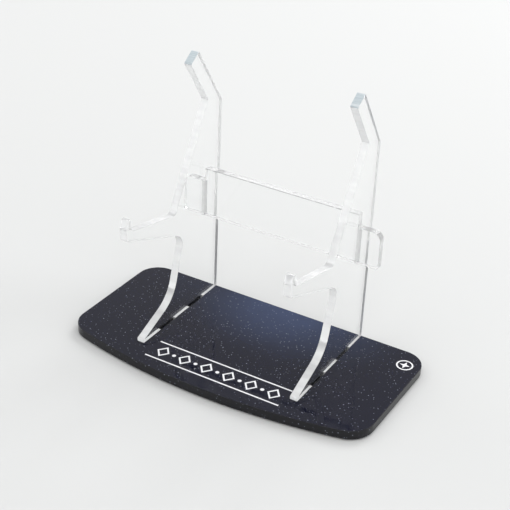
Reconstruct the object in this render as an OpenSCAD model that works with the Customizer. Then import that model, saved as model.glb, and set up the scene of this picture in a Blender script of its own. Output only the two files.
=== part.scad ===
// Flat-pack display stand: a black base plate, two clear side supports that stand in
// slots in the plate, and a clear cross brace whose ears pass through both supports.
// The frame of the model: X to the right, Y to the back, Z up, with the origin on the
// surface the stand rests on, under the middle of the plate.

/* [Base plate] */
// Width of the plate
base_w = 200; // [180:1:240]
// Depth of the plate at its middle, from the back edge to the front of the bow
base_d = 101; // [101:1:120]
// Thickness of the plate
base_t = 5.5; // [4:0.1:8]
// How far the front edge bows forward of the side edges
bow = 13.7; // [6:0.1:16]
// Radius of the two back corners
back_corner_r = 14; // [8:0.5:20]
// Radius of the two front corners
front_corner_r = 16; // [8:0.5:20]

/* [Bumper feet] */
// Diameter of each foot
foot_pad_d = 8; // [6:0.5:12]
// Height of each foot
foot_pad_h = 1; // [0.8:0.1:2]
// Distance from the plate's side edges to the middle of a foot
foot_pad_inset = 18; // [16:1:30]

/* [Clear sheet] */
// Thickness of the clear sheet that the supports and the brace are cut from
sheet_t = 4.8; // [4:0.1:6]
// Gap between the two supports
inner_gap = 100; // [80:1:110]

/* [Side supports] */
// Length of a support along the plate, from its rear edge to the front of its foot
support_l = 81; // [79:0.5:84]
// Reach of the hook forward of the rear edge
hook_reach = 97; // [94:0.5:99]
// Height of the inner end of the cradle above the plate
cradle_h = 72; // [70:0.5:76]
// Rise of the cradle from its inner end to the hook
cradle_rise = 9; // [6:0.5:11]
// Height of the hook's tip above the cradle beside it
hook_h = 8; // [6:0.5:12]
// Height of the rear edge, up to the foot of the finger
rear_edge_h = 130; // [125:1:145]
// Length of the finger along its back
finger_l = 45.5; // [40:0.5:55]
// Width of the finger
finger_w = 10; // [8:0.5:12]
// Angle of the finger above the horizontal
finger_angle = 55; // [50:1:65]

/* [Tabs] */
// Length of a tab
tab_l = 16; // [12:0.5:20]
// Distance from the rear edge of a support forward to its first tab
tab_inset = 15.9; // [12:0.1:20]
// Distance from one tab to the next
tab_pitch = 31.4; // [30:0.1:33]
// Play on each side of a tab in its slot and of an ear in its window
play = 0.1; // [0.05:0.05:0.2]

/* [Cross brace] */
// Distance from the rear edge of the supports to the back of the brace
brace_inset = 12; // [10:0.5:14]
// Height of the brace's lower edge above the plate
brace_low = 58.7; // [56:0.1:62]
// Height of the brace between the supports
brace_h = 31.5; // [28:0.5:36]
// Height of the ears
ear_h = 23.2; // [18:0.1:25]
// How far each ear stands out past its support
ear_out = 13; // [7:0.5:16]

/* [Inlay] */
// Depth of the filled engraving
inlay_t = 0.3; // [0.2:0.05:0.5]
// Length of the two rules
rule_l = 90.5; // [60:0.5:92]
// Width of a rule
rule_w = 1; // [0.6:0.1:1.5]
// Distance between the rules
rule_gap = 16.2; // [14:0.1:18]
// Place of the middle of the band between the rules
band_x = 2.5; // [0:0.5:2.5]
// Distance from the middle of the plate forward to the middle of the band
band_y = 31.6; // [31:0.1:32]
// Outer radius of the corner badge
badge_r = 5.1; // [4:0.1:6]

/* [Hidden] */
$fn = 64;
cut = 1;
arc_step = 6;

// Heights of the plate's underside and top
plate_z = foot_pad_h;
top_z = foot_pad_h + base_t;
// Back edge of the plate, which the rear edges of the supports are flush with
rear_y = base_d / 2;
support_x = inner_gap / 2;
ear_x = support_x + sheet_t + ear_out;
brace_y = rear_y - brace_inset - sheet_t;

// The two tabs of a support, from front to back along Y, end just above the plate's underside
tab_clearance = 0.2;
tab_h = base_t - tab_clearance;
tab_spans = [for (i = [0, 1])
    let (back = rear_y - tab_inset - i * tab_pitch) [back - tab_l, back]];

// Points along the round that replaces corner b between a and c, with radius r
function unit(v) = v / norm(v);
function turn(u, v) = atan2(u.x * v.y - u.y * v.x, u * v);
function corner_arc(a, b, c, r) =
    r == 0 ? [b] :
    let (
        u = unit(b - a), v = unit(c - b), bend = turn(u, v), side = sign(bend),
        start = b - u * r * tan(abs(bend) / 2),
        centre = start + side * r * [-u.y, u.x],
        steps = max(2, ceil(abs(bend) / arc_step))
    )
    [for (i = [0:steps])
        let (t = bend * i / steps, d = side * r * [u.y, -u.x])
        centre + [d.x * cos(t) - d.y * sin(t), d.x * sin(t) + d.y * cos(t)]];

// An outline from a list of corners [x, y, radius]
function rounded(corners) = let (n = len(corners)) [
    for (i = [0:n - 1])
        let (a = corners[(i + n - 1) % n], b = corners[i], c = corners[(i + 1) % n])
        each corner_arc([a.x, a.y], [b.x, b.y], [c.x, c.y], b.z)
];

// The plate's outline: straight back and sides, and a front edge that is one wide arc,
// which the rounds of the front corners touch from inside
bow_r = ((base_w / 2) ^ 2 + bow ^ 2) / (2 * bow);
bow_centre_y = bow_r - base_d / 2;
front_corner_x = base_w / 2 - front_corner_r;
front_corner_y = bow_centre_y - sqrt((bow_r - front_corner_r) ^ 2 - front_corner_x ^ 2);
back_corner_x = base_w / 2 - back_corner_r;
back_corner_y = rear_y - back_corner_r;
bow_angle = atan2(front_corner_x, bow_centre_y - front_corner_y);
bow_steps = 40;
function arc(centre, r, from, to) =
    let (steps = ceil((to - from) / arc_step))
    [for (i = [0:steps]) let (a = from + (to - from) * i / steps) centre + r * [cos(a), sin(a)]];
plate_outline = concat(
    arc([back_corner_x, back_corner_y], back_corner_r, 0, 90),
    arc([-back_corner_x, back_corner_y], back_corner_r, 90, 180),
    arc([-front_corner_x, front_corner_y], front_corner_r, 180, 270 - bow_angle),
    [for (i = [1:bow_steps - 1])
        let (a = bow_angle * (2 * i / bow_steps - 1))
        [bow_r * sin(a), bow_centre_y - bow_r * cos(a)]],
    arc([front_corner_x, front_corner_y], front_corner_r, 270 + bow_angle, 360)
);

// The finger's corners, along and across its lean
lean = [-cos(finger_angle), sin(finger_angle)];
across = [-sin(finger_angle), -cos(finger_angle)];
finger_foot = [rear_y, rear_edge_h];
finger_tip_back = finger_foot + finger_l * lean;
finger_tip_front = finger_tip_back + finger_w * across;
finger_inner_share = 0.725;
finger_inner = finger_tip_front - finger_inner_share * finger_l * lean;

toe_y = rear_y - support_l;
toe_h = 2;

// The corners of the leg: the inner end of the cradle, the corner under the arm that carries
// the cradle, and the corner where the leg turns into its foot
cradle_end_y = rear_y - 48.3;
arm_root_y = rear_y - 38.6;
arm_root_z = cradle_h - 17.8;
ankle_y = rear_y - 49.8;
ankle_z = 15.3;

// The hook: its width where it meets the cradle and at its tip, the slope on the front of
// its tip, and the chin under its front
hook_front_y = rear_y - hook_reach;
hook_base_z = cradle_h + cradle_rise;
hook_tip_z = hook_base_z + hook_h;
hook_base_w = 4.8;
hook_tip_w = 4.2;
hook_slope_w = 2;
hook_slope_h = 5;
chin_y = hook_front_y + 0.4;
chin_z = hook_base_z - 5;

// A support seen from its right side, with heights above the plate: each corner is
// [y, height, radius of the round]
support_outline = rounded([
    [rear_y, 0, 0],
    [finger_foot.x, finger_foot.y, 2],
    [finger_tip_back.x, finger_tip_back.y, 1],
    [finger_tip_front.x, finger_tip_front.y, 1],
    [finger_inner.x, finger_inner.y, 1],
    [cradle_end_y, cradle_h, 3],
    [hook_front_y + hook_base_w, hook_base_z, 2.5],
    [hook_front_y + hook_tip_w, hook_tip_z, 0.9],
    [hook_front_y + hook_slope_w, hook_tip_z, 0.9],
    [hook_front_y, hook_tip_z - hook_slope_h, 1],
    [chin_y, chin_z, 1.5],
    [arm_root_y, arm_root_z, 9],
    [ankle_y, ankle_z, 22],
    [toe_y, toe_h, 0.8],
    [toe_y, 0, 0]
]);

module on_plate() { translate([0, 0, top_z]) children(); }

// Lays a drawing of [y, z] in the plane of a support, and makes it sheet_t thick from x
module stand_up(x) {
    translate([x, 0, 0]) rotate([90, 0, 90]) linear_extrude(sheet_t) children();
}

module slot(x, span) {
    translate([x - play, span[0] - play, plate_z - cut])
        cube([sheet_t + 2 * play, tab_l + 2 * play, base_t + 2 * cut]);
}

module support(x) {
    color([0.86, 0.91, 0.93, 0.45])
    on_plate() difference() {
        union() {
            stand_up(x) polygon(support_outline);
            for (span = tab_spans)
                translate([x, span[0], -tab_h]) cube([sheet_t, tab_l, tab_h + toe_h]);
        }
        ear_window(x);
    }
}

// The brace rests on the lower edge of each window
module ear_window(x) {
    translate([x - cut, brace_y - play, brace_low])
        cube([sheet_t + 2 * cut, sheet_t + 2 * play, ear_h + play]);
}

// --- Base plate and what is fixed to it ---

module base_plate() {
    color([0.03, 0.03, 0.035])
    difference() {
        translate([0, 0, plate_z]) linear_extrude(base_t) polygon(plate_outline);
        for (x = [-support_x - sheet_t, support_x], span = tab_spans) slot(x, span);
        inlay_shapes(cut);
    }
}

module foot_pad(side, y) {
    color([0.8, 0.82, 0.84])
    translate([side * (base_w / 2 - foot_pad_inset), y, 0]) cylinder(d = foot_pad_d, h = foot_pad_h);
}

// Distances of the feet from the back edge and from the front of the side edges
foot_back_inset = 13;
foot_front_inset = 8;
foot_back_y = rear_y - foot_back_inset;
foot_front_y = bow - base_d / 2 + foot_front_inset;

module foot_front_left() { foot_pad(-1, foot_front_y); }
module foot_front_right() { foot_pad(1, foot_front_y); }
module foot_back_left() { foot_pad(-1, foot_back_y); }
module foot_back_right() { foot_pad(1, foot_back_y); }

// --- White inlay, flush with the top of the plate ---

// Sinks a drawing into the plate; above is how far it stands out past the top
module inlay(above) {
    translate([0, 0, top_z - inlay_t]) linear_extrude(inlay_t + above) children();
}

lozenge_count = 6;
lozenge_pitch = rule_l / lozenge_count;
lozenge_h = 0.66 * rule_gap;
lozenge_w = 0.56 * lozenge_pitch;
// Width of a lozenge's line, as a share of the lozenge
lozenge_line = 0.3;
dot_d = 2.4;
badge_line = 0.9;
// Distances of the badge from the plate's right and back edges
badge_side_inset = 9.6;
badge_back_inset = 14.1;

module rule(side) {
    translate([band_x - rule_l / 2, -band_y + side * rule_gap / 2 - rule_w / 2]) square([rule_l, rule_w]);
}

module lozenge() {
    corners = [[lozenge_w / 2, 0], [0, lozenge_h / 2], [-lozenge_w / 2, 0], [0, -lozenge_h / 2]];
    difference() {
        polygon(corners);
        polygon((1 - lozenge_line) * corners);
    }
}

module lozenges() {
    for (i = [0:lozenge_count - 1])
        translate([band_x + (i - (lozenge_count - 1) / 2) * lozenge_pitch, -band_y]) lozenge();
}

module dots() {
    for (i = [0:lozenge_count - 2])
        translate([band_x + (i - (lozenge_count - 2) / 2) * lozenge_pitch, -band_y]) circle(d = dot_d);
}

module at_badge() {
    translate([base_w / 2 - badge_side_inset, rear_y - badge_back_inset]) children();
}

module ring() {
    at_badge() difference() {
        circle(r = badge_r);
        circle(r = badge_r - badge_line);
    }
}

module star() {
    points = 4;
    long_r = 0.66 * badge_r;
    short_r = 0.24 * badge_r;
    at_badge() polygon([for (i = [0:2 * points - 1])
        (i % 2 == 0 ? long_r : short_r) * [cos(i * 180 / points), sin(i * 180 / points)]]);
}

module inlay_shapes(above) {
    inlay(above) rule(-1);
    inlay(above) rule(1);
    inlay(above) lozenges();
    inlay(above) dots();
    inlay(above) ring();
    inlay(above) star();
}

module front_rule() { color("white") inlay(0) rule(-1); }
module back_rule() { color("white") inlay(0) rule(1); }
module lozenge_row() { color("white") inlay(0) lozenges(); }
module dot_row() { color("white") inlay(0) dots(); }
module badge_ring() { color("white") inlay(0) ring(); }
module badge_star() { color("white") inlay(0) star(); }

// --- The clear frame that lifts out of the plate ---

module left_support() { support(-support_x - sheet_t); }
module right_support() { support(support_x); }

// The brace from the front: a panel between the supports with a lower ear at each end
module cross_brace() {
    ear_top = brace_low + ear_h;
    panel_top = brace_low + brace_h;
    color([0.80, 0.87, 0.90, 0.45])
    on_plate() translate([0, brace_y + sheet_t, 0]) rotate([90, 0, 0]) linear_extrude(sheet_t)
        polygon(rounded([
            [-ear_x, brace_low, 1],
            [ear_x, brace_low, 1],
            [ear_x, ear_top, 5],
            [support_x, ear_top, 0],
            [support_x, panel_top, 0.5],
            [-support_x, panel_top, 0.5],
            [-support_x, ear_top, 0],
            [-ear_x, ear_top, 5]
        ]));
}

base_plate();
foot_front_left();
foot_front_right();
foot_back_left();
foot_back_right();
front_rule();
back_rule();
lozenge_row();
dot_row();
badge_ring();
badge_star();
left_support();
right_support();
cross_brace();
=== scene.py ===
# %% [markdown]
# # A clear display stand on a gloss black plate
# The stand is a kit of flat parts: a black acrylic plate, two clear supports that stand in slots
# in it, and a clear brace across the back. Its dimensions are already fixed by the CAD
# model, so this lesson only gives the parts their finish: softened edges, laser-cut faces,
# flecks in the black sheet, and light that bends through the clear one. The first step loads
# the CAD model as a frame that every piece is placed by.

# %% Load the frame
import math

import bpy
import numpy as np
from mathutils import Matrix, Vector


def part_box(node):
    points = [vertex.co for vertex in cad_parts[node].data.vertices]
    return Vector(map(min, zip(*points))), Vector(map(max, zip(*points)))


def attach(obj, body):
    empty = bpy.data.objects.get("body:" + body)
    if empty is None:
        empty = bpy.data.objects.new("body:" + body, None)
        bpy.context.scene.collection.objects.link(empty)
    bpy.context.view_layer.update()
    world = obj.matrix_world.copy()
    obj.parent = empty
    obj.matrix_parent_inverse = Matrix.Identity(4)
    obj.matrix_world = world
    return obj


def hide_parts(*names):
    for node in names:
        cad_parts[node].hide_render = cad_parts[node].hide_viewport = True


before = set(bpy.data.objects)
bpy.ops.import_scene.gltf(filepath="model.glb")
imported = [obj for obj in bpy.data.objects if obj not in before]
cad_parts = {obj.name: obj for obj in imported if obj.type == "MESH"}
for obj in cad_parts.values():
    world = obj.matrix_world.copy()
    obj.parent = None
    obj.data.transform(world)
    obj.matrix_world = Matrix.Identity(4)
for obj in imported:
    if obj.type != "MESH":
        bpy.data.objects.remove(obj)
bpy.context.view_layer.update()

MM = 0.001

# %% [markdown]
# ## Where the viewer stands
# A stand like this is seen best from above its front right, and through a long lens, so that
# the upright sheets stay upright. The camera is placed by three turns: round to the right
# (yaw), down, and a small roll of the hand. The three axes of the camera are worked out from
# them and written straight into its matrix, which leaves no doubt about the order of the turns.

# %% Camera
yaw, down, roll = (math.radians(angle) for angle in (29.367, 29.71, 2.691))
camera_at = Vector((304.8, -530.9, 418.7)) * MM
level_right = Vector((math.cos(yaw), math.sin(yaw), 0))
level_ahead = Vector((-math.sin(yaw), math.cos(yaw), 0))
ahead = math.cos(down) * level_ahead - math.sin(down) * Vector((0, 0, 1))
level_up = level_right.cross(ahead)
right = math.cos(roll) * level_right + math.sin(roll) * level_up
up = math.cos(roll) * level_up - math.sin(roll) * level_right

lens = bpy.data.cameras.new("camera")
lens.sensor_width = 36
lens.lens = 86.66
camera = bpy.data.objects.new("camera", lens)
camera_turn = Matrix((right, up, -ahead)).transposed().to_4x4()
camera.matrix_world = Matrix.Translation(camera_at) @ camera_turn
bpy.context.scene.collection.objects.link(camera)
bpy.context.scene.camera = camera
print("camera to the middle of the plate, mm:", round(camera_at.length / MM))

# %% [markdown]
# ## Shader maths that reads like maths
# A finish is a tree of nodes, and most of the nodes do plain arithmetic on one number per point.
# The small class below wraps such a number, so that `1 - mask * 0.5` adds the Math nodes by
# itself. It knows the three operators that the finishes use, each also with a plain number on
# its left, and a smooth step, which turns a slow change into a mask with a soft border.

# %% Values
class Value:
    """One number that varies over a surface, held as the output socket of a node."""

    def __init__(self, finish, socket):
        self.finish = finish
        self.socket = socket

    def math(self, operation, *operands):
        """One Math node, with a value or a number in each of its sockets."""
        node = self.finish.add("Math", {"operation": operation}, dict(enumerate(operands)))
        return Value(self.finish, node.outputs[0])

    def __add__(self, other):
        return self.math("ADD", self, other)

    def __radd__(self, other):
        return self.math("ADD", other, self)

    def __sub__(self, other):
        return self.math("SUBTRACT", self, other)

    def __rsub__(self, other):
        return self.math("SUBTRACT", other, self)

    def __mul__(self, other):
        return self.math("MULTIPLY", self, other)

    def __rmul__(self, other):
        return self.math("MULTIPLY", other, self)

    def step(self, low, high):
        """0 below low and 1 above high, with a smooth rise between. low may be the larger."""
        ends = {"Value": self, "From Min": low, "From Max": high}
        node = self.finish.add("MapRange", {"interpolation_type": "SMOOTHSTEP"}, ends)
        return Value(self.finish, node.outputs["Result"])


print("operators on values: + - *")

# %% [markdown]
# ## A finish is a tree that is grown from its leaves
# Anything that isn't arithmetic, such as a noise or a bump, is added by one method of the
# finish, which takes the node's type, its settings, and what goes into its sockets. The other
# methods only name what the finishes below ask for again and again. A size is given in
# millimetres, as a maker would, and turned into Blender's metres in one place.

# %% Finishes
class Finish:
    """A node tree in the making, for a material or for the world."""

    def __init__(self, owner):
        owner.use_nodes = True
        self.owner = owner
        self.tree = owner.node_tree
        self.tree.nodes.clear()

    def add(self, kind, settings=None, sockets=None):
        """Adds a node: its settings first, then a value or a link for each named socket."""
        node = self.tree.nodes.new("ShaderNode" + kind)
        for name, setting in (settings or {}).items():
            setattr(node, name, setting)
        for name, wanted in (sockets or {}).items():
            wanted = wanted.socket if isinstance(wanted, Value) else wanted
            if isinstance(wanted, bpy.types.NodeSocket):
                self.tree.links.new(wanted, node.inputs[name])
            else:
                node.inputs[name].default_value = wanted
        return node

    def value(self, kind, output, settings=None, sockets=None):
        """The same, but gives one output of the new node as a value."""
        return Value(self, self.add(kind, settings, sockets).outputs[output])

    def coordinates(self, stretch=(1, 1, 1), shift=(0, 0, 0)):
        """The point's place on the object in metres, stretched along each axis."""
        place = self.add("TexCoord").outputs["Object"]
        mapped = self.add("Mapping", {}, {"Vector": place, "Scale": stretch, "Location": shift})
        return mapped.outputs[0]

    def noise(self, size_mm, detail=2, stretch=(1, 1, 1), shift=(0, 0, 0)):
        """Soft noise from 0 to 1 whose lumps are about size_mm across."""
        place = self.coordinates(stretch, shift)
        sockets = {"Vector": place, "Scale": 1 / (size_mm * MM), "Detail": detail}
        return self.value("TexNoise", "Fac", {}, sockets)

    def blend(self, share, first, second):
        """A colour between two colours, by a value or a number from 0 to 1."""
        settings = {"data_type": "RGBA", "clamp_factor": True}
        node = self.add("Mix", settings, {0: share, 6: first, 7: second})
        return node.outputs[2]

    def bump(self, height, depth_mm, strength):
        """A normal that makes height, from 0 to 1, look depth_mm deep."""
        sockets = {"Height": height, "Distance": depth_mm * MM, "Strength": strength}
        return self.add("Bump", {}, sockets).outputs[0]

    def surface(self, **sockets):
        """A Principled shader, with its sockets named in Python's way."""
        named = {name.replace("_", " ").title().replace("Ior", "IOR"): wanted
                 for name, wanted in sockets.items()}
        return self.add("BsdfPrincipled", {}, named).outputs[0]

    def wear(self, surface):
        """Ends the tree with this surface and gives back the finished material."""
        self.add("OutputMaterial", {}, {"Surface": surface})
        print(self.owner.name, "has", len(self.tree.nodes), "nodes")
        return self.owner


def finish_for(name):
    """A finish for a new material."""
    return Finish(bpy.data.materials.new(name))


print("ways to grow a finish:", [way for way in vars(Finish) if not way.startswith("_")])

# %% [markdown]
# ## The light tent
# The stand is shown in a light tent on pale paper. A tent is one huge soft lamp, so it is made
# as the world's own light and not as lamps: brighter overhead and on the viewer's side, with one
# small darker opening that the camera looks in through. Clear acrylic has no colour to show,
# only what it bends and mirrors, so these slow changes of brightness are what draws its edges.

# %% Light tent
def tent_light():
    """Brightness is a product of three factors: the height on the tent, how nearly a direction
    faces the viewer, and the opening, which is a small spot of that last one."""
    tent = Finish(bpy.data.worlds.new("light_tent"))
    towards = tent.add("TexCoord").outputs["Generated"]
    height = tent.value("SeparateXYZ", "Z", {}, {0: towards})
    opening = Vector((math.sin(yaw), -math.cos(yaw), 0.25)).normalized()
    facing_opening = tent.value("VectorMath", "Value", {"operation": "DOT_PRODUCT"},
                                {0: towards, 1: opening})
    overhead = 0.86 + 0.24 * height.step(0.45, 1.0)
    viewer_side = 1 + 0.85 * facing_opening.step(0.0, 0.9)
    darker_spot = 1 - 0.7 * facing_opening.step(0.98, 0.992)
    brightness = overhead * viewer_side * darker_spot
    white = (1, 1, 1, 1)
    glow = tent.add("Background", {}, {"Color": white, "Strength": brightness})
    tent.add("OutputWorld", {}, {"Surface": glow.outputs[0]})
    return tent.owner


bpy.context.scene.world = tent_light()
bpy.context.scene.view_settings.view_transform = "Standard"
bpy.context.scene.view_settings.exposure = 0.0
print("the world is", bpy.context.scene.world.name)

# %% [markdown]
# ## Three softboxes
# A tent alone gives clear sheet no sparkle. Three large square lamps, the strongest behind the
# stand, put the small white glints on its edges. Light that gets into a clear sheet is mirrored
# from face to face many times before it comes out at a cut edge, so each ray is allowed many
# bounces. With few of them the edges would turn grey.

# %% Softboxes
BOUNCES = 128


def softbox(name, at, size, watts):
    """A square area lamp at a point in metres. A lamp shines along its own -Z, so its Z is
    turned away from the middle of the stand."""
    lamp = bpy.data.lights.new(name, "AREA")
    lamp.size = size
    lamp.energy = watts
    box = bpy.data.objects.new(name, lamp)
    box.matrix_world = (Matrix.Translation(at)
                        @ Vector(at).to_track_quat("Z", "Y").to_matrix().to_4x4())
    bpy.context.scene.collection.objects.link(box)


softbox("softbox_back", at=(0.1, 1.5, 1.35), size=0.8, watts=12.0)
softbox("softbox_right", at=(1.3, 0.8, 1.0), size=0.7, watts=6.0)
softbox("softbox_left", at=(-1.3, 0.2, 0.9), size=0.9, watts=2.0)
for kind in ("max", "transmission", "glossy", "diffuse"):
    setattr(bpy.context.scene.cycles, kind + "_bounces", BOUNCES)
print("softboxes:", [lamp.name for lamp in bpy.data.lights], "with", BOUNCES, "bounces")

# %% [markdown]
# ## A new piece from arrays
# Every surface below is worked out as an array of points and a list of faces, so one helper
# makes a mesh of any of them. A rounded edge has to look round and a flat face flat, so each
# face is told whether it is shaded as curved. A second helper numbers the faces of a grid.

# %% New pieces
SHARP = math.radians(35)


def new_piece(name, points, faces, smooth):
    """A mesh object from an array of points and a list of faces, in metres, at the origin. smooth
    says for each face whether it is shaded as curved; edges sharper than SHARP stay crisp."""
    mesh = bpy.data.meshes.new(name)
    mesh.from_pydata(points.tolist(), [], faces)
    mesh.set_sharp_from_angle(angle=SHARP)
    mesh.polygons.foreach_set("use_smooth", smooth)
    piece = bpy.data.objects.new(name, mesh)
    bpy.context.scene.collection.objects.link(piece)
    print(name, "has", len(points), "points and", len(faces), "faces")
    return piece


def grid_faces(rows, columns):
    """The four-cornered faces of a grid of points that is numbered row by row."""
    corner = (np.arange(rows - 1)[:, None] * columns + np.arange(columns - 1)).ravel()
    return np.stack([corner, corner + 1, corner + columns + 1, corner + columns], axis=1)


print("a grid of 3 by 3 points has", len(grid_faces(3, 3)), "faces")

# %% [markdown]
# ## The paper under the stand
# A sheet of paper that is far bigger than the stand, so that its edge never shows. It is a
# surface of two parameters, across and away, on a coarse grid, and it rises very slightly
# towards its rim, as paper does that is clipped up at the ends. Paper is matt, with a fine
# grain that is only just uneven in tone.

# %% Paper
def paper(reach=9.0, flat_out_to=3.0, bend=0.02, lines=41):
    """x and y run over a square of points. The height is zero until flat_out_to metres from the
    middle, and beyond it bend times the square of the distance that is left."""
    line = np.linspace(-reach, reach, lines)
    y, x = np.meshgrid(line, line, indexing="ij")
    rise = bend * np.maximum(np.hypot(x, y) - flat_out_to, 0) ** 2
    points = np.stack([x, y, rise], axis=-1).reshape(-1, 3)
    faces = grid_faces(lines, lines).tolist()
    return new_piece("paper", points, faces, [True] * len(faces))


def paper_finish():
    """Pale grey between two very close tones, hardly glossy at all."""
    sheet = finish_for("pale_paper")
    grain = sheet.noise(size_mm=0.6, detail=3)
    darker = (0.54, 0.545, 0.543, 1)
    lighter = (0.56, 0.565, 0.563, 1)
    tone = sheet.blend(grain, darker, lighter)
    return sheet.wear(sheet.surface(base_color=tone, roughness=0.9, specular_ior_level=0.2))


floor = paper()
floor.data.materials.append(paper_finish())

# %% [markdown]
# ## Reading a flat part from the CAD frame
# Every part of the stand is cut from flat sheet, so its whole shape is one outline and a
# thickness. The CAD node holds both: the triangles that lie at its top level are the outline
# filled in. A triangle mesh from a CAD file repeats each corner for each triangle, so corners
# that agree to a tenth of a micrometre are first made one. An edge of the flat face that only
# one triangle uses is part of a cut line, and because triangles run anticlockwise, that edge
# has the sheet on its left.

# %% Cut lines of a sheet
DECIMALS = 7
SAME_LEVEL = 0.001 * MM


def node_arrays(name):
    """The merged corners of a CAD node and its triangles, as arrays."""
    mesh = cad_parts[name].data
    corners = np.empty(3 * len(mesh.vertices))
    mesh.vertices.foreach_get("co", corners)
    mesh.calc_loop_triangles()
    triangles = np.empty(3 * len(mesh.loop_triangles), int)
    mesh.loop_triangles.foreach_get("vertices", triangles)
    corners = corners.reshape(-1, 3).round(DECIMALS)
    places, index = np.unique(corners, axis=0, return_inverse=True)
    return places, index.ravel()[triangles].reshape(-1, 3)


def flat_at(places, triangles, axis, level):
    """The triangles of a flat face: those with all three corners at one level along an axis."""
    at_level = np.abs(places[:, axis] - level) < SAME_LEVEL
    return triangles[at_level[triangles].all(axis=1)]


def cut_line(triangles, count):
    """For each corner, the corner before it and after it on its cut line, or -1 off the lines."""
    start = triangles.ravel()
    end = np.roll(triangles, -1, axis=1).ravel()
    single = ~np.isin(start * count + end, end * count + start)
    after = np.full(count, -1)
    before = np.full(count, -1)
    after[start[single]] = end[single]
    before[end[single]] = start[single]
    return before, after


for name in ("base_plate", "left_support", "cross_brace"):
    print(name, "has", len(node_arrays(name)[1]), "triangles")

# %% [markdown]
# ## A softened edge
# A laser or saw leaves a crisp arris, and polishing takes a hair off it. That thin rounded line
# is what catches the light, so it is real geometry here: the section of the edge is a quarter
# circle, a straight wall, and another quarter circle. A bevel made by hand would have to be
# repeated for each part, and a section with a mitre at each corner, as on a picture frame,
# fits any outline.

# %% Edge section and mitre
ROUND_STEPS = 3


def edge_section(soft, low, high):
    """Distance inwards and level of each point of the section, from the high face to the low: a
    quarter circle with the radius soft below the high face, and its mirror image above the low
    one. The last point of each half is on the wall, so that the wall is shaded as truly flat."""
    turn = np.linspace(0, np.pi / 2, ROUND_STEPS + 1)
    inwards = np.append(soft * (1 - np.sin(turn)), 0)
    below = np.append(soft * (1 - np.cos(turn)), 2 * soft)
    upper_half = np.stack([inwards, high - below], axis=1)
    lower_half = np.stack([inwards, low + below], axis=1)[::-1]
    return np.concatenate([upper_half, lower_half])


def mitre(previous, here, following):
    """How far each corner moves for each metre that both of its walls move into the sheet: the
    sum of the walls' inward directions, divided by one plus their dot product."""
    def inward(along):
        """A quarter turn to the left of the direction along, one metre long."""
        along = along / np.linalg.norm(along, axis=1, keepdims=True)
        return np.stack([-along[:, 1], along[:, 0]], axis=1)

    first = inward(here - previous)
    second = inward(following - here)
    return (first + second) / (1 + (first * second).sum(axis=1, keepdims=True))


square_corner = (np.array([[0.0, 0.0]]), np.array([[1.0, 0.0]]), np.array([[1.0, 1.0]]))
print("a square corner moves by", mitre(*square_corner)[0])

# %% [markdown]
# ## The section carried along the cut lines
# The points of a band of wall are a grid: a row for each point of the section and a column for
# each corner of the cut lines, all lines at once. Corners that are also on the low face belong
# to cuts that go through the sheet, and the others are the rims of shallow pockets. The flat
# faces keep the CAD triangles, with their corners pulled in to meet the bands. A face attribute
# called `cut` tells the finish which faces were cut and which are the sheet's own gloss.

# %% Sheet parts
def band_faces(number, following):
    """The four-cornered faces of a band. number holds the points' numbers, with a row for each
    point of the section, and following gives the column that comes after each column."""
    ahead = number[:, following]
    corners = [number[:-1], number[1:], ahead[1:], ahead[:-1]]
    return np.stack(corners, axis=-1).reshape(-1, 4)


def sheet_part(name, node, axis, soft, gap, pocket=0.0):
    """A sheet part: the CAD node's outline moved in by gap, with edges rounded by soft. Cut lines
    that are on the high face and not on the low one are the rims of pockets of that depth."""
    across = [(axis + 1) % 3, (axis + 2) % 3]
    places, triangles = node_arrays(node)
    low, high = places[:, axis].min(), places[:, axis].max()
    top = flat_at(places, triangles, axis, high)
    under = flat_at(places, triangles, axis, low)
    before, after = cut_line(top, len(places))
    on_line = np.flatnonzero(after >= 0)
    flat = places[:, across]
    move = np.zeros_like(flat)
    move[on_line] = mitre(flat[before[on_line]], flat[on_line], flat[after[on_line]])

    spot = np.unique(flat, axis=0, return_inverse=True)[1].ravel()
    goes_through = np.isin(spot[on_line], spot[under])
    bands = [(on_line[goes_through], edge_section(soft, low, high), gap)]
    if pocket:
        bands.append((on_line[~goes_through], np.array([[0, high], [0, high - pocket]]), 0))
        under = np.concatenate([under, flat_at(places, triangles, axis, high - pocket)])

    rim = np.full(len(places), -1)
    foot = np.full(len(places), -1)
    blocks = []
    walls = []
    first = 0
    for corners, section, moved_in in bands:
        rows = np.empty((len(section), len(corners), 3))
        rows[..., across] = flat[corners] + (section[:, :1, None] + moved_in) * move[corners]
        rows[..., axis] = section[:, 1:]
        number = first + np.arange(rows[..., 0].size).reshape(rows.shape[:2])
        rim[corners] = number[0]
        foot[spot[corners]] = number[-1]
        walls.append(band_faces(number, rim[after[corners]] - first))
        blocks.append(rows.reshape(-1, 3))
        first += number.size

    faces = np.concatenate(walls).tolist()
    is_cut = np.zeros(len(faces) + len(top) + len(under), np.float32)
    is_cut[:len(faces)] = 1
    is_smooth = np.arange(len(is_cut)) < len(walls[0])  # only the rounded walls look curved
    faces += rim[top].tolist() + foot[spot[under]].tolist()
    piece = new_piece(name, np.concatenate(blocks), faces, is_smooth)
    piece.data.attributes.new("cut", "FLOAT", "FACE").data.foreach_set("value", is_cut)
    return piece


print("a ring of 2 by 4 points has", len(band_faces(np.arange(8).reshape(2, 4), [1, 2, 3, 0])),
      "faces")
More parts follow.
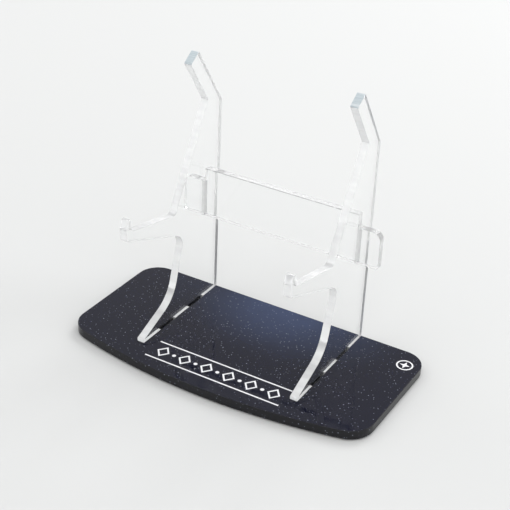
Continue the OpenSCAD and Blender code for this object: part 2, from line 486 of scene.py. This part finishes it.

# %% [markdown]
# ## Clear cast acrylic
# Cast acrylic bends light with an index of 1.49 and its own faces are perfectly smooth. A laser
# leaves its cut face partly clear and partly frosted, slightly wavy, and with fine lines
# straight through the sheet where the beam pulsed. Those lines depend only on the place along
# the outline, so the noise is stretched a long way across the sheet. A Mix Shader blends the
# clear surface with a frosted one, and the `cut` attribute keeps the frost, the lines and the
# roughness off the sheet's own faces. At the ends of a cut more of it is frost, darkened there as
# a painted dark reflection. Those are the points that lie farthest in one direction, so a dot
# product with that direction finds them.

# %% Clear acrylic
ACRYLIC_IOR = 1.49
THROUGH_STRETCH = 0.06


def clear_finish(name, across, frosted, towards, reach, painted_dark_tint):
    """Clear on the sheet's own faces. On cut faces a share of about frosted, from 0 to 1, is
    frost, and more of it where the place along towards is near reach, tinted there with a dark
    colour that paints a dark reflection. across is the axis that the sheet faces."""
    clear = finish_for(name)
    cut = clear.value("Attribute", "Fac", {"attribute_name": "cut"})
    stretch = [1.0, 1.0, 1.0]
    stretch[across] = THROUGH_STRETCH
    lines = clear.noise(size_mm=0.35, stretch=stretch)
    waves = clear.noise(size_mm=3.5, stretch=stretch, shift=(0.3, 0.1, 0.2))
    relief = clear.bump((lines * 0.7 + waves * 0.3) * cut, depth_mm=0.015, strength=0.5)
    rough = cut * (0.11 + 0.04 * waves.step(0.35, 0.75))
    along = clear.value("VectorMath", "Value", {"operation": "DOT_PRODUCT"},
                        {0: clear.coordinates(), 1: towards})
    end = along.step(reach - 0.7 * MM, reach - 0.3 * MM)
    water_clear = (0.997, 1.0, 1.0, 1)
    glass = clear.surface(base_color=water_clear, roughness=rough, ior=ACRYLIC_IOR,
                          transmission_weight=1.0, normal=relief)
    # Painted dark reflection: near the farthest points the frost takes a dark colour, standing in
    # for the dark seen in the tips.
    painted_dark_share = end * (0.6 + 0.6 * lines) * waves.step(0.0, 0.5)
    frost_white = (0.99, 0.995, 1.0, 1)
    frost_colour = clear.blend(painted_dark_share, frost_white, painted_dark_tint)
    frost = clear.surface(base_color=frost_colour, roughness=0.55, ior=ACRYLIC_IOR,
                          normal=relief)
    patchy = frosted + 0.05 * waves.step(0.3, 0.7)
    share = cut * (patchy + end * (0.35 + 0.5 * waves))
    return clear.wear(clear.add("MixShader", {}, {0: share, 1: glass, 2: frost}).outputs[0])


print("light slows in acrylic by a factor of", ACRYLIC_IOR)

# %% [markdown]
# ## Two versions of the clear finish
# The supports face along X and the brace along Y, so the lines run a different way on each and
# each has its own material. On the supports the painted dark reflection sits at the tips of the
# fingers, which lean forward. On the brace it is the front corner of its top, which lies farthest
# in the direction halfway between forward and up. The brace's edges are the clearer ones: less of
# their cut face is frost.

# %% Clear finishes
def farthest(node, towards):
    """How far a node reaches in a direction, in metres: its corners' largest dot product."""
    return float((node_arrays(node)[0] @ np.array(towards)).max())


finger_lean = math.radians(55)
up_finger = (0, -math.cos(finger_lean), math.sin(finger_lean))
up_front = (0, -math.sqrt(0.5), math.sqrt(0.5))
# The two colours below are painted dark reflections, for the tips of the fingers and for the
# brace's front corner.
blue_grey = (0.34, 0.40, 0.43, 1)
nearly_black = (0.06, 0.07, 0.07, 1)
clear_supports = clear_finish("clear_acrylic_upright", across=0, frosted=0.34, towards=up_finger,
                              reach=farthest("left_support", up_finger), painted_dark_tint=blue_grey)
clear_brace = clear_finish("clear_acrylic_crosswise", across=1, frosted=0.14, towards=up_front,
                           reach=farthest("cross_brace", up_front), painted_dark_tint=nearly_black)

# %% [markdown]
# ## Supports and brace
# The three clear parts share one function and differ only in the axis their sheet faces. The
# outline is pulled in by a few hundredths of a millimetre, the width the laser takes away, and
# that keeps a film of air between the clear parts and whatever they rest on. Without it no
# light would be mirrored inside the sheet, and its lower edges would look wet and black.

# %% Clear parts
KERF = 0.03 * MM
CLEAR_ARRIS = 0.1 * MM
clear_parts = {
    "support_left": ("left_support", 0, clear_supports),
    "support_right": ("right_support", 0, clear_supports),
    "brace": ("cross_brace", 1, clear_brace),
}
for name, (node, axis, material) in clear_parts.items():
    piece = sheet_part(name, node, axis, soft=CLEAR_ARRIS, gap=KERF)
    piece.data.materials.append(material)
    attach(piece, "clear_frame")
    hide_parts(node)

# %% [markdown]
# ## Black sheet with flecks
# The plate is black cast acrylic with small pale flakes in it at every depth. Flakes are points
# of a cell pattern in all three directions: a cell's centre shows only where the surface passes
# close by it, so the flakes on the top come in different sizes by themselves. Each cell also
# has its own random colour, which sets how bright its flake is. A faint blue sheen, a painted
# reflection of light from behind, is put into the base colour, strongest at the middle of the
# back edge, so the black is a blend of two blacks by the distance from there. The cut edges are a
# little duller than the top and have the same fine lines as the clear parts.

# %% Plate finish
FLAKE_SPACING = 2.0 * MM


def plate_finish():
    """Black with a painted blue sheen towards the back, a duller black on the cut faces, and
    flakes over both.
    """
    plate = finish_for("black_fleck_acrylic")
    cut = plate.value("Attribute", "Fac", {"attribute_name": "cut"})
    cells = plate.add("TexVoronoi", {"feature": "F1"},
                      {"Vector": plate.coordinates(), "Scale": 1 / FLAKE_SPACING})
    distance = Value(plate, cells.outputs["Distance"])
    luck = plate.value("SeparateColor", "Red", {}, {0: cells.outputs["Color"]})
    flakes = distance.step(0.21, 0.07) * (0.15 + 0.85 * luck)
    # The blue below is a painted sheen: a reflection of light from behind, painted into the base
    # colour, strongest at the middle of the back edge.
    cloud = plate.noise(size_mm=18)
    from_back = plate.coordinates(stretch=(1.0, 1.4, 1.0), shift=(-0.006, -0.07, 0))
    distance_from_back = plate.value("VectorMath", "Value", {"operation": "LENGTH"},
                                     {0: from_back})
    painted_sheen = distance_from_back.step(0.085, 0.0) * (0.8 + 0.4 * cloud)
    # The second black is the colour of the painted blue sheen.
    deep_black = (0.004, 0.0045, 0.013, 1)
    painted_sheen_blue = (0.028, 0.042, 0.092, 1)
    edge_black = (0.012, 0.012, 0.014, 1)
    flake_grey = (0.22, 0.24, 0.29, 1)
    sheet_colour = plate.blend(cut, plate.blend(painted_sheen, deep_black, painted_sheen_blue), edge_black)
    colour = plate.blend(flakes, sheet_colour, flake_grey)
    lines = plate.noise(size_mm=0.4, stretch=(1, 1, THROUGH_STRETCH))
    smears = plate.noise(size_mm=9, detail=3, stretch=(1, 0.6, 1)).step(0.45, 0.8)
    rough = 0.02 + 0.03 * smears + cut * 0.18
    relief = plate.bump(lines * cut, depth_mm=0.05, strength=0.6)
    return plate.wear(plate.surface(base_color=colour, roughness=rough, ior=ACRYLIC_IOR,
                                    specular_ior_level=0.2, normal=relief))


black_fleck = plate_finish()

# %% [markdown]
# ## The plate
# The plate is one more sheet part, this time with its face up. Its edge is softened more than
# the clear ones, because it is the rim that hands touch. It needs no gap of its own, because
# the clear parts already leave one. Its pockets are the engraving that the white inlay fills.

# %% Plate
PLATE_ARRIS = 0.22 * MM
ENGRAVING_DEPTH = 0.3 * MM
plate = sheet_part("plate", "base_plate", 2, soft=PLATE_ARRIS, gap=0, pocket=ENGRAVING_DEPTH)
plate.data.materials.append(black_fleck)
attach(plate, "base")
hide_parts("base_plate")

# %% [markdown]
# ## White inlay
# The rules, the row of lozenges and dots, and the corner badge are shallow engraving filled
# with white paint. The CAD solids already have the right shape, so they stay, and get paint
# that is slightly uneven in tone and has the faint dimples of a hand fill.

# %% Inlay
def paint_finish():
    """White in soft patches of two tones, the paler ones also less glossy."""
    paint = finish_for("white_paint_fill")
    patches = paint.noise(size_mm=1.6, detail=3)
    dimples = paint.noise(size_mm=0.3)
    thin_white = (0.62, 0.62, 0.64, 1)
    full_white = (0.82, 0.82, 0.83, 1)
    tone = paint.blend(patches, thin_white, full_white)
    relief = paint.bump(dimples, depth_mm=0.02, strength=0.5)
    return paint.wear(paint.surface(base_color=tone, roughness=0.35 + 0.3 * patches, ior=1.5,
                                    normal=relief))


white_paint = paint_finish()
for name in ("front_rule", "back_rule", "lozenge_row", "dot_row", "badge_ring", "badge_star"):
    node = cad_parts[name]
    node.data.materials.clear()
    node.data.materials.append(white_paint)

# %% [markdown]
# ## A turned shape
# A foot is turned: its section, from the middle of the underside out and up to the middle of
# the top, is carried round the foot's axis, as on a lathe. The rings of points are one more
# band, and the pole at each end is one shared point, so the surface is closed.

# %% Turned shapes
def turned(name, centre, section, around=48):
    """Radius and height of the section, carried round an upright axis through centre. The first
    and last points of the section are on the axis."""
    angle = np.arange(around) * 2 * np.pi / around
    radius, height = section[1:-1, :1], section[1:-1, 1:]
    rows = np.stack([radius * np.cos(angle) + centre.x, radius * np.sin(angle) + centre.y,
                     np.broadcast_to(height, (len(height), around))], axis=-1)
    poles = np.array([[centre.x, centre.y, section[0, 1]], [centre.x, centre.y, section[-1, 1]]])
    number = np.arange(rows[..., 0].size).reshape(-1, around)
    following = np.roll(np.arange(around), -1)
    low_pole = np.full(around, number.size)
    bottom = np.stack([low_pole, number[0, following], number[0]], axis=1)
    top = np.stack([low_pole + 1, number[-1], number[-1, following]], axis=1)
    upwards = band_faces(number, following)[:, [0, 3, 2, 1]]
    faces = bottom.tolist() + upwards.tolist() + top.tolist()
    points = np.concatenate([rows.reshape(-1, 3), poles])
    return new_piece(name, points, faces, [True] * len(faces))


def foot_section(radius, height, round_steps=6):
    """Flat underside, a quarter-round lower edge, a straight side, and a flat top."""
    turn = np.linspace(0, np.pi / 2, round_steps)
    edge = 0.5 * height
    rounded = np.stack([radius - edge + edge * np.sin(turn), edge - edge * np.cos(turn)], axis=1)
    return np.concatenate([[[0, 0]], rounded, [[radius, height], [0, height]]])


print("a foot's section has", len(foot_section(4 * MM, 1 * MM)), "points")

# %% [markdown]
# ## Bumper feet
# The plate stands on four stick-on feet of clear soft plastic, which is milky beside acrylic:
# a little rough, and not quite all of its light goes through. Each foot takes its place and
# size from the CAD foot that it replaces.

# %% Feet
def foot_finish():
    """Milky and nearly clear, with a roughness that varies in soft patches."""
    foot = finish_for("clear_soft_plastic")
    haze = foot.noise(size_mm=1.5)
    milky = (0.93, 0.95, 0.95, 1)
    return foot.wear(foot.surface(base_color=milky, roughness=0.2 + 0.15 * haze, ior=1.47,
                                  transmission_weight=0.9))


soft_plastic = foot_finish()
for name in ("foot_front_left", "foot_front_right", "foot_back_left", "foot_back_right"):
    lowest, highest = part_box(name)
    middle = (lowest + highest) / 2
    section = foot_section((highest.x - lowest.x) / 2, highest.z)
    piece = turned(name.replace("foot", "bumper"), middle, section)
    piece.data.materials.append(soft_plastic)
    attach(piece, "base")
    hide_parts(name)

# %% [markdown]
